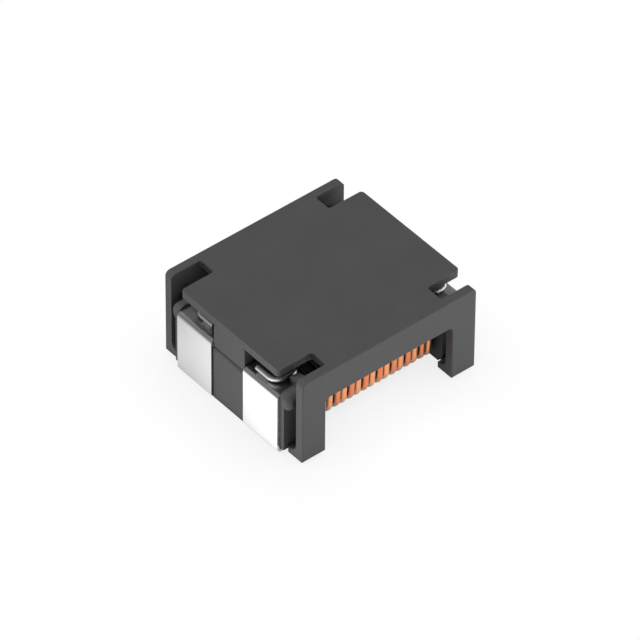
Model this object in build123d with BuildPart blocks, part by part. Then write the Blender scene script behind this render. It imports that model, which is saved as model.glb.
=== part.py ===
from build123d import *
import os

# Surface-mount common mode choke, in millimetres.
# +X runs along the winding axis and the side rails, +Y across the part, +Z up.
# The origin is the middle of the footprint, on the board that the terminals stand on.

os.makedirs("parts", exist_ok=True)

# Overall sizes, over the terminals, over the rails and from the board to the top plate
overall_length = 12.0
overall_width = 10.8
overall_height = 5.4

# Cover: a top plate with a rail along each side that stands on two legs
plate_thickness = 0.45
tongue_width = 7.6
tongue_corner_radius = 0.2
notch_depth = 1.9
notch_corner_radius = 0.15
rail_length = 11.2
rail_thickness = 0.5
rail_corner_radius = 0.3
rail_edge_radius = 0.07
beam_depth = 1.8
leg_length = 1.5
window_corner_radius = 0.3
toe_reach = 0.6
toe_height = 0.85
toe_tip_height = 0.36
foot_lift = 0.15

# Drum core: two flanges joined by a winding post
flange_thickness = 1.43
flange_lift = 0.34
shoulder_height = 3.68
seat_edge_radius = 0.15
post_inset = 0.77
post_bottom = 0.88
post_height = 2.3
post_corner_radius = 0.25
rib_width = 2.4
rib_height = 3.5
rib_edge_radius = 0.3
rib_setback = 0.1
rib_lift = 0.05

# Ears: round lobes beside each flange that keep the leads off the rails
front_ear_radius = 0.58
front_ear_height = 3.48
front_ear_rounding = 0.35
rear_ear_radius = 0.8
rear_ear_height = 3.65

# Terminals: one folded strip for each end of each wire
terminal_thickness = 0.15
terminal_inset = 0.32
terminal_gap = 2.5
terminal_bend_radius = 0.19
terminal_lip = 1.12
terminal_pad = 1.2

# Windings: two enamelled wires laid side by side around the post
wire_diameter = 0.4
wire_bend_radius = 0.45
band_pitch = 0.92
side_advance = 0.14
top_advance = 0.44
winding_margin = 0.275
winding_shift = 0.09

# Leads: each wire end climbs over the flange and turns in along the terminal's lip
near_lead_offset = 0.5
far_lead_offset = 0.73
lead_inset = 0.73
lip_run = 1.35
lead_shoulder = 3.5
lead_run_in = 0.8

# Solder joints and adhesive
solder_radius = 0.28
solder_sink = 0.15
solder_film = 0.03
bond_thickness = 0.05
bond_margin = 0.02

# Clearances between pieces that don't bear on each other
fit_clearance = 0.02
wire_clearance = 0.01
band_clearance = 0.02
toe_clearance = 0.05
ear_clearance = 0.1

# Places that follow from the sizes above
core_length = overall_length - 2 * terminal_thickness
flange_face = core_length / 2
flange_inner = flange_face - flange_thickness
rib_face = overall_length / 2 - rib_setback
terminal_top = shoulder_height + terminal_thickness
lip_end = overall_length / 2 - terminal_lip
plate_underside = overall_height - plate_thickness
block_top = plate_underside - bond_thickness
rail_end = rail_length / 2
rail_inner = overall_width / 2 - rail_thickness
window_top = overall_height - beam_depth
wire_radius = wire_diameter / 2

# Widths that follow from the room between the rails
flange_width = 2 * (rail_inner - toe_reach - toe_clearance)
post_width = flange_width - 2 * post_inset
terminal_outer = flange_width / 2 - terminal_inset
terminal_width = terminal_outer - terminal_gap / 2
lead_across = 2 * (terminal_outer - lead_inset)
lead_tip = lead_across - 2 * lip_run
ear_spread = 2 * (rail_inner - rear_ear_radius - fit_clearance)
rear_ear_gap = lead_across + wire_diameter + 2 * ear_clearance

# Turns that fit between the flanges, each a band of two wires
winding_room = 2 * (flange_inner - winding_margin)
bands = int(winding_room / band_pitch)
first_band = winding_shift - (bands - 1) / 2 * band_pitch
wire_spacing = wire_diameter + band_clearance

# Middle line of the wires around the post and along the terminals
turn_across = post_width / 2 + wire_clearance + wire_radius
turn_bottom = post_bottom - wire_clearance - wire_radius
turn_top = post_bottom + post_height + wire_clearance + wire_radius
lead_along = {-1: overall_length / 2 - near_lead_offset, 1: overall_length / 2 - far_lead_offset}
lead_height = terminal_top + solder_film + wire_radius


# Cover

with BuildPart() as cover:
    # The plate reaches each end as a tongue between two notches
    with BuildSketch(Plane.XY.offset(plate_underside)) as plate_outline:
        Rectangle(rail_length - 2 * notch_depth, overall_width)
        Rectangle(core_length, tongue_width)
        with GridLocations(0, overall_width - rail_thickness, 1, 2):
            Rectangle(rail_length - 2 * leg_length, rail_thickness)
        notch_floor = rail_end - notch_depth
        notch_corners = [v for v in plate_outline.vertices() if abs(abs(v.X) - notch_floor) < fit_clearance]
        inner_corners = [v for v in notch_corners if abs(v.Y) < overall_width / 2 - fit_clearance]
        fillet(inner_corners, notch_corner_radius)
        tips = [v for v in plate_outline.vertices() if abs(v.X) > flange_face - fit_clearance]
        fillet(tips, tongue_corner_radius)
    extrude(amount=plate_thickness)

    # Each rail is a deep beam with a leg at each end and an open window between them
    with BuildSketch(Plane.XZ.offset(rail_inner)) as rail_face:
        with Locations((0, (foot_lift + overall_height) / 2)):
            Rectangle(rail_length, overall_height - foot_lift)
        with Locations((0, (foot_lift + window_top) / 2)):
            Rectangle(rail_length - 2 * leg_length, window_top - foot_lift, mode=Mode.SUBTRACT)
        fillet(rail_face.vertices().group_by(Axis.Y)[-1], rail_corner_radius)
        fillet(rail_face.vertices().group_by(Axis.Y)[1], window_corner_radius)
    extrude(amount=rail_thickness)

    # The inner side of each foot flares towards the core
    for leg_start in (-rail_end, rail_end - leg_length):
        with BuildSketch(Plane.YZ.offset(leg_start)) as toe:
            with BuildLine():
                root = (-rail_inner, foot_lift + toe_height)
                tip = (-rail_inner + toe_reach, foot_lift + toe_tip_height)
                TangentArc(root, tip, tangent=(0, -1))
                Polyline(tip, (tip[0], foot_lift), (-rail_inner, foot_lift), root)
            make_face()
        extrude(amount=leg_length)

    # The outer face of the rail has softened edges
    outer_face = cover.faces().sort_by(Axis.Y)[0]
    fillet(outer_face.edges(), rail_edge_radius)
    with BuildSketch(Plane.XY.offset(plate_underside)) as far_half:
        with Locations((0, overall_width / 2)):
            Rectangle(overall_length, overall_width)
    extrude(amount=overall_height, both=True, mode=Mode.SUBTRACT)
    mirror(about=Plane.XZ)

cover.part.label = "cover"
export_step(cover.part, "parts/cover.step")


# Drum core

with BuildPart() as front_ears:
    # Rounded lobes, cut back where the terminal's lip needs room
    with BuildSketch(Plane.YZ.offset(flange_inner)):
        with Locations((-ear_spread / 2, front_ear_height), (ear_spread / 2, front_ear_height)):
            Circle(front_ear_radius)
    extrude(amount=flange_thickness)
    fillet(front_ears.edges().group_by(Axis.X)[-1], front_ear_rounding)
    with BuildSketch(Plane.YZ.offset(flange_inner)):
        with Locations((0, front_ear_height)):
            Rectangle(2 * (terminal_outer + fit_clearance), 2 * front_ear_radius)
    extrude(amount=flange_thickness, mode=Mode.SUBTRACT)

with BuildPart() as drum_core:
    # Flange body with the seats that the terminals fold around
    with BuildSketch(Plane.YZ.offset(flange_inner)) as flange_outline:
        with Locations((0, (flange_lift + shoulder_height) / 2)):
            Rectangle(flange_width, shoulder_height - flange_lift)
        with Locations((0, (terminal_thickness + shoulder_height) / 2)):
            Rectangle(2 * (terminal_outer + fit_clearance), shoulder_height - terminal_thickness)
    extrude(amount=flange_thickness)
    seat_edges = drum_core.edges().filter_by(Axis.Y).group_by(Axis.X)[-1].group_by(Axis.Z)
    fillet(seat_edges[0] + seat_edges[-1], seat_edge_radius)

    # The rib between the terminals carries the block that the cover is bonded to
    with BuildSketch(Plane.YZ.offset(flange_inner)) as rib_outline:
        with Locations((0, (rib_lift + rib_height) / 2)):
            Rectangle(rib_width, rib_height - rib_lift)
    extrude(amount=rib_face - flange_inner)
    with BuildSketch(Plane.YZ.offset(flange_inner)) as block_outline:
        with Locations((0, (rib_height + block_top) / 2)):
            Rectangle(rib_width, block_top - rib_height)
    extrude(amount=flange_thickness)

    # A rounded upper edge on the rib leaves a groove under the block
    with BuildSketch(Plane.XZ) as groove:
        with BuildLine():
            groove_back = (rib_face - rib_edge_radius, rib_height)
            groove_front = (rib_face, rib_height - rib_edge_radius)
            TangentArc(groove_back, groove_front, tangent=(1, 0))
            Polyline(groove_front, (rib_face, rib_height), groove_back)
        make_face()
    extrude(amount=rib_width / 2, both=True, mode=Mode.SUBTRACT)

    # The front ears, and larger ones behind them that end where the lip ends
    add(front_ears.part)
    with BuildSketch(Plane.YZ.offset(flange_inner)) as rear_ears:
        with Locations((-ear_spread / 2, rear_ear_height), (ear_spread / 2, rear_ear_height)):
            Circle(rear_ear_radius)
        with Locations((0, rear_ear_height)):
            Rectangle(rear_ear_gap, 2 * rear_ear_radius, mode=Mode.SUBTRACT)
    extrude(amount=lip_end - fit_clearance - flange_inner)

    # The second flange mirrors the first, and the post joins them
    mirror(about=Plane.YZ)
    with BuildSketch(Plane.YZ) as post_outline:
        with Locations((0, post_bottom + post_height / 2)):
            RectangleRounded(post_width, post_height, post_corner_radius)
    extrude(amount=flange_inner + fit_clearance, both=True)

drum_core.part.label = "drum_core"
export_step(drum_core.part, "parts/drum_core.step")


# Terminals

corners = {
    "front_right": (),
    "front_left": (Plane.YZ,),
    "back_right": (Plane.XZ,),
    "back_left": (Plane.YZ, Plane.XZ),
}


def export_at_corners(solid, name, row=""):
    # Places a front right piece by mirroring it, at both corners of a row or at all four
    for corner, planes in corners.items():
        if not corner.startswith(row):
            continue
        piece = solid
        for plane in planes:
            piece = piece.mirror(plane)
        piece.label = f"{name}_{corner}"
        export_step(piece, f"parts/{piece.label}.step")


with BuildPart() as terminal:
    # Solder pad under the flange, upright face and lip on the shoulder in one strip
    with BuildSketch(Plane.XZ.offset(terminal_gap / 2)) as fold:
        with BuildLine():
            half = terminal_thickness / 2
            front = overall_length / 2 - half
            FilletPolyline(
                (overall_length / 2 - terminal_pad, half),
                (front, half),
                (front, terminal_top - half),
                (lip_end, terminal_top - half),
                radius=terminal_bend_radius,
            )
        trace(line_width=terminal_thickness)
    extrude(amount=terminal_width)

export_at_corners(terminal.part, "terminal")


# Windings

def band_corners(start, count):
    # Corner points of the turns, each from the near bottom up the near side and over
    points = []
    for turn in range(count):
        along = start + turn * band_pitch
        points += [
            (along, -turn_across, turn_bottom),
            (along + side_advance, -turn_across, turn_top),
            (along + side_advance + top_advance, turn_across, turn_top),
            (along + 2 * side_advance + top_advance, turn_across, turn_bottom),
        ]
    return points


def top_run_point(near_end, across):
    # A point of the run over the top that starts at near_end, at this place across
    share = (across + turn_across) / (2 * turn_across)
    return (near_end + share * top_advance, across, turn_top)


def side_lead(along, side, direction):
    # A lead that leaves the top of the winding's side for the terminal on that side
    return [
        (along, side * turn_across, lead_shoulder),
        (along, side * lead_across / 2, lead_height),
        (direction * lead_along[side], side * lead_across / 2, lead_height),
        (direction * lead_along[side], side * lead_tip / 2, lead_height),
    ]


def top_lead(near_end, side, direction):
    # A lead that leaves the run over the top for the terminal on the side it heads to
    bend = top_run_point(near_end, side * (lead_across / 2 - lead_run_in))
    return [
        bend,
        (bend[0], side * lead_across / 2, lead_height),
        (direction * lead_along[side], side * lead_across / 2, lead_height),
        (direction * lead_along[side], side * lead_tip / 2, lead_height),
    ]


half_spacing = wire_spacing / 2
near_start = first_band + half_spacing - side_advance / 2
far_start = first_band - half_spacing - side_advance / 2

near_turns = band_corners(near_start - band_pitch, bands + 1)[2:-2]
near_path = top_lead(near_start - band_pitch + side_advance, -1, -1)[::-1]
near_path += near_turns[:-1]
near_path += side_lead(near_turns[-1][0], -1, 1)

far_turns = band_corners(far_start - band_pitch, bands + 1)[2:-2]
far_path = side_lead(far_turns[0][0], 1, -1)[::-1]
far_path += far_turns[1:]
far_path += top_lead(far_turns[-1][0], 1, 1)

with BuildPart() as winding_near:
    with BuildLine() as near_line:
        FilletPolyline(near_path, radius=wire_bend_radius)
    with BuildSketch(Plane(near_line.line @ 0, z_dir=near_line.line % 0)) as near_section:
        Circle(wire_radius)
    sweep(path=near_line.wires()[0])

winding_near.part.label = "winding_near"
export_step(winding_near.part, "parts/winding_near.step")

with BuildPart() as winding_far:
    with BuildLine() as far_line:
        FilletPolyline(far_path, radius=wire_bend_radius)
    with BuildSketch(Plane(far_line.line @ 0, z_dir=far_line.line % 0)) as far_section:
        Circle(wire_radius)
    sweep(path=far_line.wires()[0])

winding_far.part.label = "winding_far"
export_step(winding_far.part, "parts/winding_far.step")


# Solder joints

def solder_joint(along):
    # A low mound on the front right lip along the straight end of the wire, which is bedded in it
    straight_end = lead_across / 2 - wire_bend_radius
    length = straight_end - lead_tip / 2
    across = -(straight_end + lead_tip / 2) / 2
    level = terminal_top - solder_sink
    with BuildPart() as solder:
        with BuildSketch(Plane.XY.offset(level)):
            with Locations((along, across)):
                SlotOverall(length, 2 * solder_radius, rotation=90)
            with Locations((along + solder_radius, across)):
                Rectangle(2 * solder_radius, length, mode=Mode.SUBTRACT)
        revolve(axis=Axis((along, 0, level), (0, 1, 0)))
        split(bisect_by=Plane.XY.offset(terminal_top))
        with Locations((along, across, lead_height)):
            Cylinder(wire_radius, length, rotation=(90, 0, 0), mode=Mode.SUBTRACT)
    return solder.part


export_at_corners(solder_joint(lead_along[-1]), "solder", "front")
export_at_corners(solder_joint(lead_along[1]), "solder", "back")


# Adhesive between the core's blocks and the cover

with BuildPart() as bond:
    with BuildSketch(Plane.XY.offset(block_top)) as bond_outline:
        with Locations((flange_face - flange_thickness / 2, 0)):
            Rectangle(flange_thickness - 2 * bond_margin, rib_width - 2 * bond_margin)
    extrude(amount=bond_thickness)

bond.part.label = "bond_right"
export_step(bond.part, "parts/bond_right.step")
bond_left = bond.part.mirror(Plane.YZ)
bond_left.label = "bond_left"
export_step(bond_left, "parts/bond_left.step")
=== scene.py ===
import math

import bmesh
import bpy
from mathutils import Matrix, Vector


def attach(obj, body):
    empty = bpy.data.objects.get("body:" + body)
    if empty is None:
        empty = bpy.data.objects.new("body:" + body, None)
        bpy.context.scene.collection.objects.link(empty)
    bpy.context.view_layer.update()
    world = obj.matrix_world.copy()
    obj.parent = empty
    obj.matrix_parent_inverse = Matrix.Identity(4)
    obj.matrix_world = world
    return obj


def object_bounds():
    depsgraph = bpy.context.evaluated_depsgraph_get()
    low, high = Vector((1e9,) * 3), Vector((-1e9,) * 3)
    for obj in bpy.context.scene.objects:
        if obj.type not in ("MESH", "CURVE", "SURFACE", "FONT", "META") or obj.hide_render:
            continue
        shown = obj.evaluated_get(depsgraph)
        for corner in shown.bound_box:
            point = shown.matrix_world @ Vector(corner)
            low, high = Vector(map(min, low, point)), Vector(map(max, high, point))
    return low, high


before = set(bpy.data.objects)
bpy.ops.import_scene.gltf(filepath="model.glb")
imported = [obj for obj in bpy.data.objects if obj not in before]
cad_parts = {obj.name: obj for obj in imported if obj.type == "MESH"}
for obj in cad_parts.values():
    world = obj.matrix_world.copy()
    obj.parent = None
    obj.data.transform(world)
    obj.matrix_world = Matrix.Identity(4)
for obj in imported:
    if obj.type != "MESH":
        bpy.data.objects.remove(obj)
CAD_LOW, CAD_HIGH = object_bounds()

bl_info = {
    "name": "Common Mode Choke",
    "version": (1, 0, 0),
    "blender": (4, 5, 0),
    "location": "3D View > Sidebar > Choke",
    "description": "Dresses a surface-mount common mode choke and sets it in a plain studio",
    "category": "Object",
}

MM = 0.001
CORNERS = ("front_left", "front_right", "back_left", "back_right")

# Noise and masks; a scale is the number of features per metre
SKY_SAMPLES = 8
BEVEL_SAMPLES = 6
EDGE_CONTRAST = 5.0  # how fast the edge mask rises as the surface turns
PLATING_PATCHES = 900.0  # scale of the patches in the tin plating
BORDER_WAVES = 5000.0  # scale of the waves in the border between enamel and bare wire

# Painted shade: how far a point looks for free sky, and the shares of it that count as closed
# and as clear; where the sky is closed the colour turns to its painted shade
CORNER_PAINTED_SHADE = {"Reach": 0.4 * MM, "Closed": 0.35, "Clear": 1.0}
NOOK_PAINTED_SHADE = {"Reach": 1.5 * MM, "Closed": 0.1, "Clear": 0.6}
LEAD_PAINTED_SHADE = {"Reach": 1.5 * MM, "Closed": 0.2, "Clear": 0.9}
COIL_PAINTED_SHADE = {"Reach": 3.0 * MM, "Closed": 0.28, "Clear": 0.5}

# Shares of a material's own colour: the dark and light ones for random mottle, the shade ones
# for the painted shade in its corners and nooks
FERRITE_DARK = 0.9
FERRITE_LIGHT = 1.1
FERRITE_SHADE_SHARE = 0.4
PLATING_DARK = 0.95
PLATING_SHADE_SHARE = 0.5
ENAMEL_DARK = 0.82
SOLDER_DARK = 0.85
SOLDER_SHADE_SHARE = 0.5

# Finish
COIL_SHADE_COLOUR = (0.3, 0.23, 0.19)  # colour of the painted shade deep inside the coil
LEAD_SHADE_COLOUR = (0.3, 0.3, 0.295)  # colour of the painted shade on a tinned lead in a nook
FERRITE_SPECULAR = 0.25
FERRITE_UNEVEN = 0.06  # how far the roughness wanders to both sides
PLATING_UNEVEN = 0.05
SOLDER_UNEVEN = 0.06
SKIN_DEPTH = 0.002 * MM  # depth of the unevenness of enamel and solder
ENAMEL_COAT_ROUGHNESS = 0.12
WIRE_TO_LEAD = {  # values on the enamel and on the tinned leads
    "Metallic": (0.85, 0.95),
    "Roughness": (0.34, 0.42),
    "Coat Weight": (0.5, 0.0),
}

# Rounded edges by modifier
WELD_DISTANCE = 0.0005 * MM
EDGE_SEGMENTS = 2
EDGE_ANGLE = math.radians(40)

# Adhesive beads
BEAD_UP = 0.03 * MM  # how far a bead climbs the rounded edges above and below its joint
BEAD_IN = 0.1 * MM  # how deep it reaches into the joint
BEAD_STEPS = 48  # stations along it
BEAD_ARC = 8  # facets across its rounded outer side
BEAD_TAPER = 12  # its ends taper over one part in this many of its length
BEAD_WAVE = 0.08  # share of its height that comes and goes along it
BEAD_WAVE_TURNS = (23, 9)  # radians that the two waves in it turn from end to end
BEAD_WAVE_START = 1  # radian at which the second wave starts

# Stage
FLOOR_SIZE = 6.0
FLOOR_DROP = 0.01 * MM  # keeps the floor's surface apart from the solder pads
FADE_FROM = -2 * MM  # the mirrored floor dims from this row across the part
FADE_TO = 8 * MM  # to this one
WHITE = (1.0, 1.0, 1.0, 1.0)
CLIP = (0.01, 20.0)  # nearest and furthest distance that the camera sees
SOFT_BOXES = (  # name and power setting, place, width and height, shows in reflections
    ("top", (0.0, 0.0, 0.3), (0.12, 0.12), True),
    ("left", (-0.29, 0.2, 0.035), (0.15, 0.06), False),
    ("right", (0.19, -0.3, 0.035), (0.25, 0.06), True),
)


# Sizes and colours that a user would change


class ChokeFerrite(bpy.types.PropertyGroup):
    colour: bpy.props.FloatVectorProperty(
        name="Colour", description="Colour of the fired ferrite", subtype="COLOR",
        size=3, min=0, max=1, default=(0.066, 0.066, 0.0665),
    )
    # Lighter colour on the sharp edges: a painted highlight
    edge_highlight_colour: bpy.props.FloatVectorProperty(
        name="Edge colour", description="Colour of the painted highlight on the sharp edges",
        subtype="COLOR", size=3, min=0, max=1, default=(0.11, 0.11, 0.112),
    )
    roughness: bpy.props.FloatProperty(
        name="Roughness", description="Roughness of the fired surface",
        min=0, max=1, default=0.55,
    )
    grain: bpy.props.FloatProperty(
        name="Grain", description="Depth of the fine grain", subtype="DISTANCE", unit="LENGTH",
        min=0, default=0.004 * MM,
    )
    edge: bpy.props.FloatProperty(
        name="Edge rounding", description="Width of the small rounding on the moulded edges",
        subtype="DISTANCE", unit="LENGTH", min=0, default=0.035 * MM,
    )


class ChokeTerminal(bpy.types.PropertyGroup):
    colour: bpy.props.FloatVectorProperty(
        name="Colour", description="Colour of the tin plating", subtype="COLOR",
        size=3, min=0, max=1, default=(0.93, 0.93, 0.925),
    )
    roughness: bpy.props.FloatProperty(
        name="Roughness", description="Roughness of the tin plating",
        min=0, max=1, default=0.32,
    )
    grain: bpy.props.FloatProperty(
        name="Grain", description="Depth of the rolling marks", subtype="DISTANCE",
        unit="LENGTH", min=0, default=0.0015 * MM,
    )


class ChokeWire(bpy.types.PropertyGroup):
    near_colour: bpy.props.FloatVectorProperty(
        name="First wire", description="Colour of the first enamelled wire", subtype="COLOR",
        size=3, min=0, max=1, default=(0.78, 0.29, 0.1),
    )
    far_colour: bpy.props.FloatVectorProperty(
        name="Second wire", description="Colour of the second enamelled wire", subtype="COLOR",
        size=3, min=0, max=1, default=(0.7, 0.19, 0.05),
    )
    lead_colour: bpy.props.FloatVectorProperty(
        name="Leads", description="Colour of the tinned leads of both wires", subtype="COLOR",
        size=3, min=0, max=1, default=(0.74, 0.74, 0.73),
    )
    bare_from: bpy.props.FloatProperty(
        name="Bare from",
        description="Distance from the middle at which the enamel ends on each lead",
        subtype="DISTANCE", unit="LENGTH", min=0, default=4.2 * MM,
    )


class ChokeSolder(bpy.types.PropertyGroup):
    colour: bpy.props.FloatVectorProperty(
        name="Colour", description="Colour of the solder", subtype="COLOR",
        size=3, min=0, max=1, default=(0.82, 0.82, 0.81),
    )
    roughness: bpy.props.FloatProperty(
        name="Roughness", description="Roughness of the solder's skin",
        min=0, max=1, default=0.26,
    )


class ChokeAdhesive(bpy.types.PropertyGroup):
    dark_colour: bpy.props.FloatVectorProperty(
        name="Dark colour", description="Colour of the adhesive's darker patches",
        subtype="COLOR", size=3, min=0, max=1, default=(0.055, 0.055, 0.054),
    )
    light_colour: bpy.props.FloatVectorProperty(
        name="Light colour", description="Colour of the adhesive's lighter patches",
        subtype="COLOR", size=3, min=0, max=1, default=(0.07, 0.07, 0.069),
    )
    roughness: bpy.props.FloatProperty(
        name="Roughness", description="Roughness of the cured adhesive",
        min=0, max=1, default=0.4,
    )
    bead: bpy.props.FloatProperty(
        name="Bead", description="How far the adhesive is pressed out of its joint",
        subtype="DISTANCE", unit="LENGTH", min=0, default=0.018 * MM,
    )


class ChokeStage(bpy.types.PropertyGroup):
    azimuth: bpy.props.FloatProperty(
        name="Azimuth", description="Direction the camera looks from", subtype="ANGLE",
        unit="ROTATION", default=math.radians(-39.95),
    )
    elevation: bpy.props.FloatProperty(
        name="Elevation", description="Height of the camera above the horizon",
        subtype="ANGLE", unit="ROTATION", default=math.radians(42.78),
    )
    roll: bpy.props.FloatProperty(
        name="Roll", description="Turn of the camera about its own line of sight",
        subtype="ANGLE", unit="ROTATION", default=math.radians(0.48),
    )
    distance: bpy.props.FloatProperty(
        name="Distance", description="Distance from the camera to the part",
        subtype="DISTANCE", unit="LENGTH", default=368.3 * MM,
    )
    lens: bpy.props.FloatProperty(
        name="Lens", description="Focal length of the camera in millimetres", default=413.9,
    )
    target: bpy.props.FloatVectorProperty(
        name="Target", description="Point in the middle of the picture", subtype="XYZ",
        unit="LENGTH", size=3, default=(0.307 * MM, 0.381 * MM, 2.209 * MM),
    )
    world: bpy.props.FloatProperty(
        name="Surroundings", description="Brightness of the studio's walls and ceiling",
        min=0, default=0.6,
    )
    mirrored_world: bpy.props.FloatProperty(
        name="Mirrored surroundings",
        description="Brightness of the walls and ceiling in reflections",
        min=0, default=0.16,
    )
    top_light: bpy.props.FloatProperty(
        name="Top light", description="Power of the soft box overhead in watts",
        min=0, default=0.38,
    )
    left_light: bpy.props.FloatProperty(
        name="Left light", description="Power of the soft box on the left in watts",
        min=0, default=0.78,
    )
    right_light: bpy.props.FloatProperty(
        name="Right light", description="Power of the soft box on the right in watts",
        min=0, default=0.33,
    )
    floor: bpy.props.FloatVectorProperty(
        name="Floor colour", description="Colour of the studio floor", subtype="COLOR",
        size=3, min=0, max=1, default=(0.8, 0.8, 0.8),
    )
    mirrored: bpy.props.FloatProperty(
        name="Mirrored floor", description="Brightness of the open floor in reflections",
        min=0, default=1.9,
    )
    mirrored_fade: bpy.props.FloatProperty(
        name="Mirrored fade",
        description="Share of that brightness left at the back of the part",
        min=0, max=1, default=0.26,
    )
    shadow: bpy.props.FloatProperty(
        name="Shadow", description="Depth of the soft shadow on the floor round the part",
        min=0, max=1, default=0.2,
    )


PROPERTY_GROUPS = {
    "choke_ferrite": ChokeFerrite,
    "choke_terminal": ChokeTerminal,
    "choke_wire": ChokeWire,
    "choke_solder": ChokeSolder,
    "choke_adhesive": ChokeAdhesive,
    "choke_stage": ChokeStage,
}


# Nodes


def feed(tree, value, socket):
    """Links a socket to an input, or sets a plain number there."""
    if isinstance(value, bpy.types.NodeSocket):
        tree.links.new(value, socket)
    else:
        socket.default_value = value


def math_node(tree, operation, *values, clamp=False):
    """A math node on sockets or plain numbers, and its output socket."""
    node = tree.nodes.new("ShaderNodeMath")
    node.operation = operation
    node.use_clamp = clamp
    for value, socket in zip(values, node.inputs):
        feed(tree, value, socket)
    return node.outputs[0]


def noise_node(tree, vector, scale, detail=3.0, roughness=0.55):
    """A noise texture, and its value socket."""
    node = tree.nodes.new("ShaderNodeTexNoise")
    node.inputs["Detail"].default_value = detail
    node.inputs["Roughness"].default_value = roughness
    tree.links.new(vector, node.inputs["Vector"])
    feed(tree, scale, node.inputs["Scale"])
    return node.outputs["Fac"]


def map_range(tree, value, source=(0.0, 1.0), to=(0.0, 1.0), shape="LINEAR"):
    """Maps a value from one range to another; their ends are sockets or plain numbers."""
    node = tree.nodes.new("ShaderNodeMapRange")
    node.interpolation_type = shape
    tree.links.new(value, node.inputs["Value"])
    for label, end in zip(("From Min", "From Max", "To Min", "To Max"), (*source, *to)):
        feed(tree, end, node.inputs[label])
    return node.outputs["Result"]


def mix_colour(tree, factor, first, second):
    """A colour mix of sockets or plain colours, and its output socket."""
    node = tree.nodes.new("ShaderNodeMix")
    node.data_type = "RGBA"
    tree.links.new(factor, node.inputs["Factor"])
    sockets = [s for s in node.inputs if s.type == "RGBA"]
    for value, socket in zip((first, second), sockets):
        plain = not isinstance(value, bpy.types.NodeSocket)
        feed(tree, (*value, 1.0) if plain else value, socket)
    return next(s for s in node.outputs if s.type == "RGBA")


def object_coords(tree):
    """The coordinates of a point on its piece, in metres."""
    return tree.nodes.new("ShaderNodeTexCoord").outputs["Object"]


def split_axes(tree, vector):
    """The X, Y and Z sockets of a vector."""
    node = tree.nodes.new("ShaderNodeSeparateXYZ")
    tree.links.new(vector, node.inputs[0])
    return node.outputs


def free_sky(tree, reach):
    """The share of its sky that a point sees, if only what is within reach can hide it."""
    node = tree.nodes.new("ShaderNodeAmbientOcclusion")
    node.samples = SKY_SAMPLES
    tree.links.new(reach, node.inputs["Distance"])
    return node.outputs["AO"]


# Shared effects


def new_group(name, inputs, outputs):
    """A shader node group with float sockets, its input node and its output node."""
    group = bpy.data.node_groups.new(name, "ShaderNodeTree")
    kind = "NodeSocketFloat"
    for label, value in inputs.items():
        socket = group.interface.new_socket(name=label, in_out="INPUT", socket_type=kind)
        socket.default_value = value
    for label in outputs:
        group.interface.new_socket(name=label, in_out="OUTPUT", socket_type=kind)
    return group, group.nodes.new("NodeGroupInput"), group.nodes.new("NodeGroupOutput")


def grain_group(name):
    """Fine grain with a slow mottle, as of a pressed and fired powder."""
    tree, given, made = new_group(
        name, {"Scale": 9000.0, "Mottle Scale": 500.0}, ("Height", "Mottle")
    )
    coords = object_coords(tree)
    fine = noise_node(tree, coords, given.outputs["Scale"], detail=4.0, roughness=0.6)
    slow = noise_node(tree, coords, given.outputs["Mottle Scale"], detail=2.0)
    tree.links.new(fine, made.inputs["Height"])
    tree.links.new(slow, made.inputs["Mottle"])
    return tree


def edge_group(name):
    """Mask that rises on sharp edges, broken up by noise, for a painted highlight."""
    tree, given, made = new_group(name, {"Radius": 0.06 * MM, "Break Up": 1800.0}, ("Mask",))
    bevel = tree.nodes.new("ShaderNodeBevel")
    bevel.samples = BEVEL_SAMPLES
    tree.links.new(given.outputs["Radius"], bevel.inputs["Radius"])
    geometry = tree.nodes.new("ShaderNodeNewGeometry")
    dot = tree.nodes.new("ShaderNodeVectorMath")
    dot.operation = "DOT_PRODUCT"
    tree.links.new(bevel.outputs["Normal"], dot.inputs[0])
    tree.links.new(geometry.outputs["Normal"], dot.inputs[1])
    turn = math_node(tree, "SUBTRACT", 1.0, dot.outputs["Value"])
    strength = math_node(tree, "MULTIPLY", turn, EDGE_CONTRAST, clamp=True)
    patches = noise_node(tree, object_coords(tree), given.outputs["Break Up"])
    broken = math_node(tree, "MULTIPLY", strength, patches)
    tree.links.new(broken, made.inputs["Mask"])
    return tree


def painted_shade_group(name):
    """How open a point is: from none where its free sky is Closed or less to all at Clear; the
    mask for painted shade.
    """
    tree, given, made = new_group(
        name, {"Reach": 0.4 * MM, "Closed": 0.0, "Clear": 1.0}, ("Open",)
    )
    ends = (given.outputs["Closed"], given.outputs["Clear"])
    sky = free_sky(tree, given.outputs["Reach"])
    opened = map_range(tree, sky, source=ends, shape="SMOOTHSTEP")
    tree.links.new(opened, made.inputs["Open"])
    return tree


def rolled_group(name):
    """Long rolling marks of sheet metal along the piece's Z axis, and slow patches."""
    tree, given, made = new_group(
        name, {"Scale": 9000.0, "Stretch": 0.06}, ("Height", "Patches")
    )
    coords = object_coords(tree)
    axes = split_axes(tree, coords)
    join = tree.nodes.new("ShaderNodeCombineXYZ")
    tree.links.new(axes["X"], join.inputs["X"])
    tree.links.new(axes["Y"], join.inputs["Y"])
    stretched = math_node(tree, "MULTIPLY", axes["Z"], given.outputs["Stretch"])
    tree.links.new(stretched, join.inputs["Z"])
    marks = noise_node(tree, join.outputs[0], given.outputs["Scale"], detail=4.0, roughness=0.7)
    patches = noise_node(tree, coords, PLATING_PATCHES, detail=2.0)
    tree.links.new(marks, made.inputs["Height"])
    tree.links.new(patches, made.inputs["Patches"])
    return tree


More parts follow.
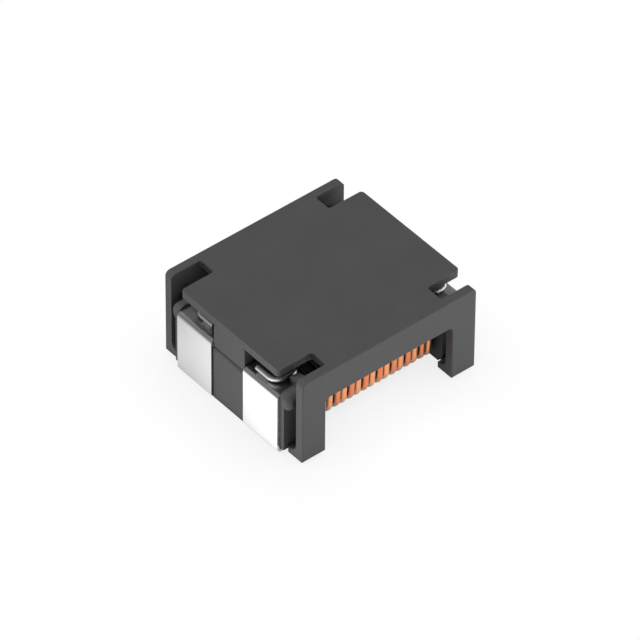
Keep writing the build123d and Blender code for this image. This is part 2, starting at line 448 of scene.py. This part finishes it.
def lead_group(name):
    """Mask that is one on the bare ends of a wire, with an uneven border."""
    tree, given, made = new_group(name, {"From": 4.5 * MM, "Softness": 0.12 * MM}, ("Mask",))
    coords = object_coords(tree)
    along = math_node(tree, "ABSOLUTE", split_axes(tree, coords)["X"])
    waves = noise_node(tree, coords, BORDER_WAVES)
    wander = math_node(tree, "MULTIPLY", waves, given.outputs["Softness"])
    border = math_node(tree, "ADD", along, wander)
    past = math_node(tree, "SUBTRACT", border, given.outputs["From"])
    share = math_node(tree, "DIVIDE", past, given.outputs["Softness"], clamp=True)
    tree.links.new(share, made.inputs["Mask"])
    return tree


def floor_shade_group(name):
    """Light on the floor, less under the part and towards the back, and its free sky."""
    tree, given, made = new_group(
        name, {"Reach": 4 * MM, "Back": 0.5}, ("Light", "Open")
    )
    sky = free_sky(tree, given.outputs["Reach"])
    across = split_axes(tree, object_coords(tree))["Y"]
    fade = map_range(tree, across, (FADE_FROM, FADE_TO), (1.0, given.outputs["Back"]))
    tree.links.new(math_node(tree, "MULTIPLY", sky, fade), made.inputs["Light"])
    tree.links.new(sky, made.inputs["Open"])
    return tree


GROUP_MAKERS = {
    "Fired Grain": grain_group,
    "Edge Polish": edge_group,
    "Cavity": painted_shade_group,
    "Rolling Marks": rolled_group,
    "Bare Lead": lead_group,
    "Floor Shade": floor_shade_group,
}


def add_group(tree, name, **values):
    """A node of a shared group with its inputs set; an underscore stands for a space."""
    node = tree.nodes.new("ShaderNodeGroup")
    node.node_tree = bpy.data.node_groups.get(name) or GROUP_MAKERS[name](name)
    for label, value in values.items():
        node.inputs[label.replace("_", " ")].default_value = value
    return node


# Materials


def new_material(name):
    """A node material, its tree and its principled shader."""
    material = bpy.data.materials.new(name)
    material.use_nodes = True
    tree = material.node_tree
    return material, tree, tree.nodes["Principled BSDF"]


def tint(colour, share):
    """A share of a colour."""
    return tuple(share * channel for channel in colour)


def shade_nooks(tree, sky, shade_tone, colour):
    """Paints shade: turns a colour to its painted shade colour where a point sees little sky.
    """
    return mix_colour(tree, add_group(tree, "Cavity", **sky).outputs["Open"], shade_tone, colour)


def uneven_roughness(tree, shader, mask, middle, spread):
    """Lets a mask carry the roughness by the spread to both sides of the middle."""
    uneven = map_range(tree, mask, to=(middle - spread, middle + spread))
    tree.links.new(uneven, shader.inputs["Roughness"])


def bump(tree, shader, height, distance):
    """Feeds a height to the shader's normal."""
    node = tree.nodes.new("ShaderNodeBump")
    node.inputs["Distance"].default_value = distance
    tree.links.new(height, node.inputs["Height"])
    tree.links.new(node.outputs["Normal"], shader.inputs["Normal"])


def ferrite_material(settings):
    """Dark fired ferrite with a fine grain, a painted highlight on its sharp edges and painted
    shade in its inner corners.
    """
    material, tree, shader = new_material("Ferrite")
    grain = add_group(tree, "Fired Grain")
    edges = add_group(tree, "Edge Polish")
    dark, light, shade_tone = (
        tint(settings.colour, share) for share in (FERRITE_DARK, FERRITE_LIGHT, FERRITE_SHADE_SHARE)
    )
    body = mix_colour(tree, grain.outputs["Mottle"], dark, light)
    # Painted highlight on the sharp edges, then painted shade in the inner corners
    edge_lit = mix_colour(tree, edges.outputs["Mask"], body, settings.edge_highlight_colour)
    shaded = shade_nooks(tree, CORNER_PAINTED_SHADE, shade_tone, edge_lit)
    tree.links.new(shaded, shader.inputs["Base Color"])
    mottle = grain.outputs["Mottle"]
    uneven_roughness(tree, shader, mottle, settings.roughness, FERRITE_UNEVEN)
    shader.inputs["Specular IOR Level"].default_value = FERRITE_SPECULAR
    bump(tree, shader, grain.outputs["Height"], settings.grain)
    return material


def terminal_material(settings):
    """Satin tin plating on rolled strip, with painted shade in its nooks."""
    material, tree, shader = new_material("Tin Plating")
    rolled = add_group(tree, "Rolling Marks")
    patches = rolled.outputs["Patches"]
    dark = tint(settings.colour, PLATING_DARK)
    plating = mix_colour(tree, patches, dark, settings.colour)
    # Painted shade where the plating sees little sky
    shaded = shade_nooks(tree, NOOK_PAINTED_SHADE, tint(settings.colour, PLATING_SHADE_SHARE), plating)
    tree.links.new(shaded, shader.inputs["Base Color"])
    uneven_roughness(tree, shader, patches, settings.roughness, PLATING_UNEVEN)
    shader.inputs["Metallic"].default_value = 1.0
    bump(tree, shader, rolled.outputs["Height"], settings.grain)
    return material


def wire_material(settings, name, colour):
    """Enamelled copper wire whose leads are bare and tinned, with painted shade inside the coil
    and on the leads in nooks.
    """
    material, tree, shader = new_material(name)
    lead = add_group(tree, "Bare Lead", From=settings.bare_from).outputs["Mask"]
    grain = add_group(tree, "Fired Grain", Scale=14000.0, Mottle_Scale=1500.0)
    enamel = mix_colour(tree, grain.outputs["Mottle"], tint(colour, ENAMEL_DARK), colour)
    # Painted shade inside the coil and on the tinned leads in nooks
    coil = shade_nooks(tree, COIL_PAINTED_SHADE, COIL_SHADE_COLOUR, enamel)
    tinned = shade_nooks(tree, LEAD_PAINTED_SHADE, LEAD_SHADE_COLOUR, settings.lead_colour)
    tree.links.new(mix_colour(tree, lead, coil, tinned), shader.inputs["Base Color"])
    for label, ends in WIRE_TO_LEAD.items():
        tree.links.new(map_range(tree, lead, to=ends), shader.inputs[label])
    shader.inputs["Coat Roughness"].default_value = ENAMEL_COAT_ROUGHNESS
    bump(tree, shader, grain.outputs["Height"], SKIN_DEPTH)
    return material


def solder_material(settings):
    """Bright reflowed solder with a slightly uneven skin and painted shade in its nooks."""
    material, tree, shader = new_material("Solder")
    grain = add_group(tree, "Fired Grain", Scale=6000.0, Mottle_Scale=3000.0)
    mottle = grain.outputs["Mottle"]
    skin = mix_colour(tree, mottle, tint(settings.colour, SOLDER_DARK), settings.colour)
    # Painted shade where the solder sees little sky
    shaded = shade_nooks(tree, NOOK_PAINTED_SHADE, tint(settings.colour, SOLDER_SHADE_SHARE), skin)
    tree.links.new(shaded, shader.inputs["Base Color"])
    uneven_roughness(tree, shader, mottle, settings.roughness, SOLDER_UNEVEN)
    shader.inputs["Metallic"].default_value = 1.0
    bump(tree, shader, mottle, SKIN_DEPTH)
    return material


def adhesive_material(settings):
    """Dark cured adhesive."""
    material, tree, shader = new_material("Adhesive")
    mottle = add_group(tree, "Fired Grain").outputs["Mottle"]
    skin = mix_colour(tree, mottle, settings.dark_colour, settings.light_colour)
    tree.links.new(skin, shader.inputs["Base Color"])
    shader.inputs["Roughness"].default_value = settings.roughness
    return material


def dress(name, material, edge=0.0):
    """Gives a CAD node its material, and rounded edges where a width is given."""
    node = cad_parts[name]
    node.data.materials.clear()
    node.data.materials.append(material)
    if edge:
        weld = node.modifiers.new("Weld", "WELD")
        weld.merge_threshold = WELD_DISTANCE
        bevel = node.modifiers.new("Edges", "BEVEL")
        bevel.width = edge
        bevel.segments = EDGE_SEGMENTS
        bevel.limit_method = "ANGLE"
        bevel.angle_limit = EDGE_ANGLE
        bevel.harden_normals = True
    return node


# Operators, one for each group of like pieces and one for the stage


class CHOKE_OT_ferrite(bpy.types.Operator):
    """Dresses the cover and the drum core as fired ferrite"""

    bl_idname = "choke.ferrite"
    bl_label = "Ferrite"

    def execute(self, context):
        settings = context.scene.choke_ferrite
        material = ferrite_material(settings)
        for name in ("cover", "drum_core"):
            dress(name, material, settings.edge)
        return {"FINISHED"}


class CHOKE_OT_terminals(bpy.types.Operator):
    """Dresses the four folded terminals as tin-plated strip"""

    bl_idname = "choke.terminals"
    bl_label = "Terminals"

    def execute(self, context):
        material = terminal_material(context.scene.choke_terminal)
        for corner in CORNERS:
            dress(f"terminal_{corner}", material)
        return {"FINISHED"}


class CHOKE_OT_windings(bpy.types.Operator):
    """Dresses the two wires as enamelled copper with tinned leads"""

    bl_idname = "choke.windings"
    bl_label = "Windings"

    def execute(self, context):
        settings = context.scene.choke_wire
        first = wire_material(settings, "Enamelled Wire One", settings.near_colour)
        second = wire_material(settings, "Enamelled Wire Two", settings.far_colour)
        dress("winding_near", first)
        dress("winding_far", second)
        return {"FINISHED"}


class CHOKE_OT_solder(bpy.types.Operator):
    """Dresses the solder joints between the wires and the terminals"""

    bl_idname = "choke.solder"
    bl_label = "Solder"

    def execute(self, context):
        material = solder_material(context.scene.choke_solder)
        for corner in CORNERS:
            dress(f"solder_{corner}", material)
        return {"FINISHED"}


def bead_profile(outer, side, y, middle, half, out):
    """Corners of a bead's closed outline at one station, from its lower inner end up."""
    inner = outer - side * BEAD_IN
    turns = [math.pi * (facet / BEAD_ARC - 0.5) for facet in range(BEAD_ARC + 1)]
    arc = [(outer + side * out * math.cos(t), y, middle + half * math.sin(t)) for t in turns]
    return [(inner, y, middle - half), *arc, (inner, y, middle + half)]


def adhesive_bead(name, joint, side, height):
    """Adhesive pressed out of a joint at its outer side: a long low bead of uneven height."""
    points = [joint.matrix_world @ Vector(corner) for corner in joint.bound_box]
    low, high = (Vector([pick(p[i] for p in points) for i in range(3)]) for pick in (min, max))
    outer = low.x if side < 0 else high.x
    middle, half = (low.z + high.z) / 2, (high.z - low.z) / 2 + BEAD_UP
    bead = bmesh.new()
    rows = []
    for step in range(BEAD_STEPS + 1):
        along = step / BEAD_STEPS
        taper = min(1.0, BEAD_TAPER * along, BEAD_TAPER * (1 - along))
        first, second = (turns * along for turns in BEAD_WAVE_TURNS)
        wave = math.sin(first) * math.sin(second + BEAD_WAVE_START)
        out = taper * (1 - BEAD_WAVE + BEAD_WAVE * wave) * height
        y = low.y + along * (high.y - low.y)
        corners = bead_profile(outer, side, y, middle, half, out)
        rows.append([bead.verts.new(corner) for corner in corners])
    for row, after in zip(rows, rows[1:]):
        for i in range(len(row)):
            j = (i + 1) % len(row)
            bead.faces.new((row[i], row[j], after[j], after[i]))
    bead.faces.new(rows[0])
    bead.faces.new(rows[-1])
    bmesh.ops.recalc_face_normals(bead, faces=bead.faces)
    mesh = bpy.data.meshes.new(name)
    bead.to_mesh(mesh)
    bead.free()
    piece = bpy.data.objects.new(name, mesh)
    bpy.context.scene.collection.objects.link(piece)
    return piece


class CHOKE_OT_adhesive(bpy.types.Operator):
    """Dresses the two adhesive joints and adds the adhesive pressed out of them"""

    bl_idname = "choke.adhesive"
    bl_label = "Adhesive"

    def execute(self, context):
        settings = context.scene.choke_adhesive
        material = adhesive_material(settings)
        for name, side in (("bond_left", -1), ("bond_right", 1)):
            joint = dress(name, material)
            bead = adhesive_bead(f"{name}_bead", joint, side, settings.bead)
            bead.data.materials.append(material)
            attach(bead, "root")
        return {"FINISHED"}


def floor_material(settings):
    """Pale floor that looks white to the camera and shaded by the part in reflections."""
    material, tree, shader = new_material("Studio Floor")
    shader.inputs["Base Color"].default_value = (*settings.floor, 1.0)
    shader.inputs["Roughness"].default_value = 1.0
    shader.inputs["Specular IOR Level"].default_value = 0.0
    shade = add_group(tree, "Floor Shade", Back=settings.mirrored_fade)
    mirrored = math_node(tree, "MULTIPLY", shade.outputs["Light"], settings.mirrored)
    shaded = map_range(tree, shade.outputs["Open"], to=(1 - settings.shadow, 1.0))
    rays = tree.nodes.new("ShaderNodeLightPath").outputs
    strength = tree.nodes.new("ShaderNodeMix")
    tree.links.new(rays["Is Camera Ray"], strength.inputs["Factor"])
    tree.links.new(mirrored, strength.inputs["A"])
    tree.links.new(shaded, strength.inputs["B"])
    white = tree.nodes.new("ShaderNodeEmission")
    tree.links.new(strength.outputs["Result"], white.inputs["Strength"])
    seen = math_node(tree, "MAXIMUM", rays["Is Camera Ray"], rays["Is Glossy Ray"])
    mix = tree.nodes.new("ShaderNodeMixShader")
    tree.links.new(seen, mix.inputs[0])
    tree.links.new(shader.outputs[0], mix.inputs[1])
    tree.links.new(white.outputs[0], mix.inputs[2])
    tree.links.new(mix.outputs[0], tree.nodes["Material Output"].inputs["Surface"])
    return material


def add_floor(settings):
    """The pale floor just under the solder pads."""
    place = (0, 0, CAD_LOW.z - FLOOR_DROP)
    bpy.ops.mesh.primitive_plane_add(size=FLOOR_SIZE, location=place)
    floor = bpy.context.active_object
    floor.name = "floor"
    floor.data.materials.append(floor_material(settings))


def add_world(settings):
    """Even surroundings, darker where they are mirrored."""
    world = bpy.data.worlds.new("Studio")
    world.use_nodes = True
    tree = world.node_tree
    background = tree.nodes["Background"]
    background.inputs["Color"].default_value = WHITE
    mirrored = tree.nodes.new("ShaderNodeLightPath").outputs["Is Glossy Ray"]
    strength = map_range(tree, mirrored, to=(settings.world, settings.mirrored_world))
    tree.links.new(strength, background.inputs["Strength"])
    bpy.context.scene.world = world


def add_light(name, place, size, power, aim, mirrored):
    """A soft rectangular light at a place in metres, aimed at a point."""
    data = bpy.data.lights.new(name, "AREA")
    data.shape = "RECTANGLE"
    data.size, data.size_y = size
    data.energy = power
    light = bpy.data.objects.new(name, data)
    light.location = place
    light.rotation_mode = "QUATERNION"
    light.rotation_quaternion = (Vector(aim) - Vector(place)).to_track_quat("-Z", "Y")
    light.visible_glossy = mirrored
    bpy.context.scene.collection.objects.link(light)


def add_camera(settings):
    """The camera at its angle and distance from the target."""
    a, e, r = settings.azimuth, settings.elevation, settings.roll
    back = Vector((math.sin(a) * math.cos(e), -math.cos(a) * math.cos(e), math.sin(e)))
    level_right = Vector((math.cos(a), math.sin(a), 0))
    level_up = back.cross(level_right)
    right = math.cos(r) * level_right + math.sin(r) * level_up
    up = math.cos(r) * level_up - math.sin(r) * level_right
    data = bpy.data.cameras.new("Camera")
    data.lens = settings.lens
    data.clip_start, data.clip_end = CLIP
    camera = bpy.data.objects.new("Camera", data)
    turn = Matrix((right, up, back)).transposed().to_4x4()
    place = Vector(settings.target) + back * settings.distance
    camera.matrix_world = Matrix.Translation(place) @ turn
    bpy.context.scene.collection.objects.link(camera)
    bpy.context.scene.camera = camera


class CHOKE_OT_stage(bpy.types.Operator):
    """Builds the pale studio floor, the surroundings, the soft lights and the camera"""

    bl_idname = "choke.stage"
    bl_label = "Stage"

    def execute(self, context):
        settings = context.scene.choke_stage
        add_floor(settings)
        add_world(settings)
        for name, place, size, mirrored in SOFT_BOXES:
            power = getattr(settings, f"{name}_light")
            add_light(f"{name}_box", place, size, power, settings.target, mirrored)
        add_camera(settings)
        context.scene.view_settings.view_transform = "Standard"
        return {"FINISHED"}


OPERATORS = (
    CHOKE_OT_ferrite,
    CHOKE_OT_terminals,
    CHOKE_OT_windings,
    CHOKE_OT_solder,
    CHOKE_OT_adhesive,
    CHOKE_OT_stage,
)


class CHOKE_PT_panel(bpy.types.Panel):
    """Lists the choke's operators and settings"""

    bl_idname = "CHOKE_PT_panel"
    bl_label = "Common Mode Choke"
    bl_space_type = "VIEW_3D"
    bl_region_type = "UI"
    bl_category = "Choke"

    def draw(self, context):
        layout = self.layout
        for operator in OPERATORS:
            layout.operator(operator.bl_idname)
        for name, group in PROPERTY_GROUPS.items():
            box = layout.box()
            for setting in group.__annotations__:
                box.prop(getattr(context.scene, name), setting)


def register():
    """Registers the settings, operators and panel."""
    for name, group in PROPERTY_GROUPS.items():
        bpy.utils.register_class(group)
        setattr(bpy.types.Scene, name, bpy.props.PointerProperty(type=group))
    for cls in (*OPERATORS, CHOKE_PT_panel):
        bpy.utils.register_class(cls)


def unregister():
    """Removes the settings, operators and panel."""
    for cls in (CHOKE_PT_panel, *reversed(OPERATORS)):
        bpy.utils.unregister_class(cls)
    for name, group in PROPERTY_GROUPS.items():
        delattr(bpy.types.Scene, name)
        bpy.utils.unregister_class(group)


def main():
    """Builds the looks and the stage."""
    register()
    bpy.ops.choke.ferrite()
    bpy.ops.choke.terminals()
    bpy.ops.choke.windings()
    bpy.ops.choke.solder()
    bpy.ops.choke.adhesive()
    bpy.ops.choke.stage()


if __name__ == "__main__":
    main()
